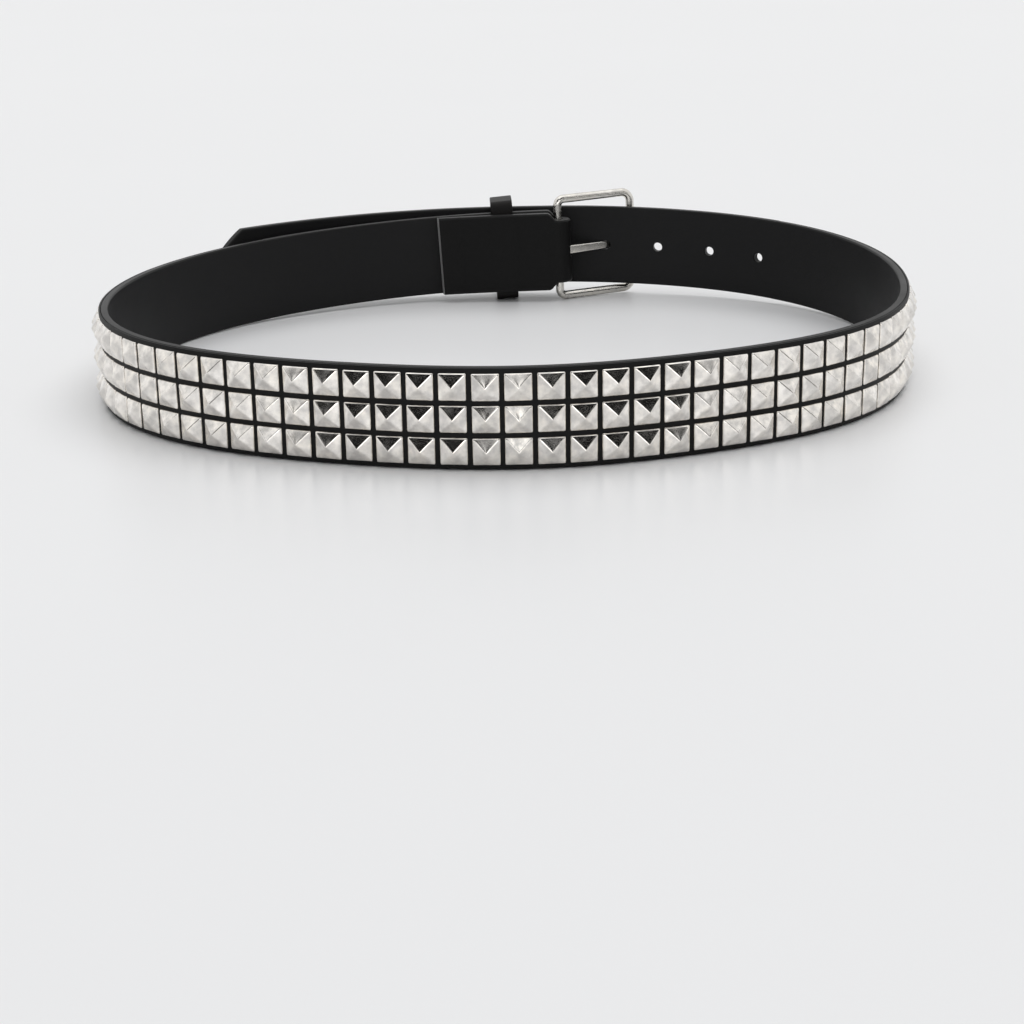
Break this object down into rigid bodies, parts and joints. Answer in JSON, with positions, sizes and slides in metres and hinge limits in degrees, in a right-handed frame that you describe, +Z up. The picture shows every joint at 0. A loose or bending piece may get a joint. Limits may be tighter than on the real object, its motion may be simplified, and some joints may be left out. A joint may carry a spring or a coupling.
{
  "type": "studded belt",
  "caption": "Leather waist belt covered with rows of square pyramid studs, fastened by a rod buckle with a prong, its pointed tail held by a keeper.",
  "frame": {"origin": "on the surface that the belt stands on, under the middle of the whole fastened loop", "axes": "+Z up, across the strap; +X along the loop's longer way, with the buckle's far bar on its +X side; +Y from the front of the loop to the buckle at the back"},
  "size_m": [0.3438, 0.302, 0.052],
  "materials": {
    "leather": "smooth black leather with a soft sheen and painted edges",
    "stud_metal": "polished nickel plate, slightly warm",
    "buckle_metal": "polished nickel plate on round rod"
  },
  "bodies": {
    "root": {"strap": "leather", "stud_field": "stud_metal", "keeper": "leather", "buckle_frame": "buckle_metal", "prong": "buckle_metal"}
  },
  "joints": []
}
